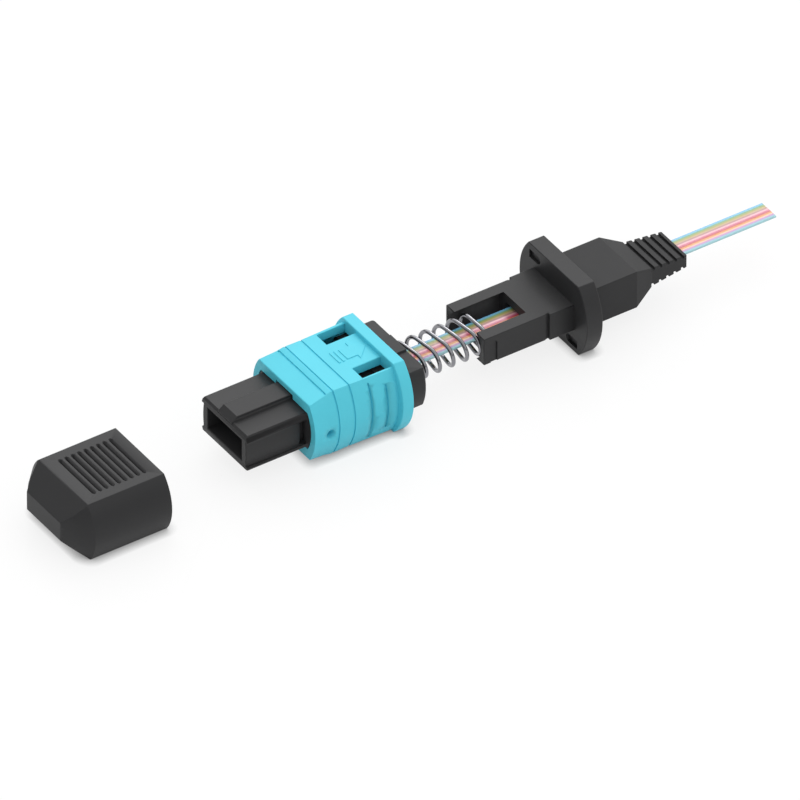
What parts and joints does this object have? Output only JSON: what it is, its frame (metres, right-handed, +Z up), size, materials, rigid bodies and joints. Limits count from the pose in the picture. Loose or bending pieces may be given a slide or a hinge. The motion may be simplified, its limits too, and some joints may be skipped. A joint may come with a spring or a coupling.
{
  "type": "multi-fibre push-on connector",
  "caption": "Multi-fibre push-on connector for a flat fibre ribbon, opened out along its axis with its dust cap off.",
  "frame": {"origin": "on the ferrule's axis in the plane of the nose's front face, at the middle of the mating mouth", "axes": "+X along the connector from the nose towards the ribbon's cut end, +Z up through the key, +Y across the ribbon towards fibre 1"},
  "size_m": [0.111, 0.0164, 0.011],
  "materials": {
    "cap_plastic": "satin moulded black",
    "housing_plastic": "satin moulded black",
    "push_plastic": "satin moulded black",
    "sleeve_plastic": "satin moulded aqua",
    "seat_plastic": "satin moulded black",
    "ferrule_polymer": "ground dark filled polymer",
    "ferrule_boot_rubber": "soft moulded",
    "boot_rubber": "soft moulded black",
    "spring_steel": "drawn bright wire",
    "ribbon_coating": "clear cured coating",
    "fibre_01": "inked coating",
    "fibre_02": "inked coating",
    "fibre_03": "inked coating",
    "fibre_04": "inked coating",
    "fibre_05": "inked coating",
    "fibre_06": "inked coating",
    "fibre_07": "inked coating",
    "fibre_08": "inked coating",
    "fibre_09": "inked coating",
    "fibre_10": "inked coating",
    "fibre_11": "inked coating",
    "fibre_12": "inked coating"
  },
  "bodies": {
    "housing": {"inner_housing": "housing_plastic", "coupling_spring_left": "spring_steel", "coupling_spring_right": "spring_steel"},
    "sleeve": {"pull_sleeve": "sleeve_plastic"},
    "cap": {"dust_cap": "cap_plastic"},
    "ferrule": {"mt_ferrule": "ferrule_polymer", "ferrule_boot": "ferrule_boot_rubber", "spring_seat": "seat_plastic", "ribbon_matrix": "ribbon_coating", "fibre_01": "fibre_01", "fibre_02": "fibre_02", "fibre_03": "fibre_03", "fibre_04": "fibre_04", "fibre_05": "fibre_05", "fibre_06": "fibre_06", "fibre_07": "fibre_07", "fibre_08": "fibre_08", "fibre_09": "fibre_09", "fibre_10": "fibre_10", "fibre_11": "fibre_11", "fibre_12": "fibre_12"},
    "push": {"spring_push": "push_plastic", "ribbon_boot": "boot_rubber", "main_spring": "spring_steel"}
  },
  "joints": [
    {"name": "sleeve_pull", "type": "slide", "parent": "housing", "child": "sleeve", "axis": [1, 0, 0], "range_m": [0, 0.0022], "stiffness_N_per_m": 300, "deforming": ["coupling_spring_left", "coupling_spring_right"]},
    {"name": "cap_fit", "type": "slide", "parent": "housing", "child": "cap", "axis": [0.9963, 0, 0.0855], "range_m": [0, 0.02187]},
    {"name": "ferrule_float", "type": "slide", "parent": "housing", "child": "ferrule", "axis": [-1, 0, 0], "range_m": [0, 0.00265]},
    {"name": "push_insert", "type": "slide", "parent": "housing", "child": "push", "axis": [-1, 0, 0], "range_m": [0, 0.0233], "deforming": ["main_spring"]}
  ]
}
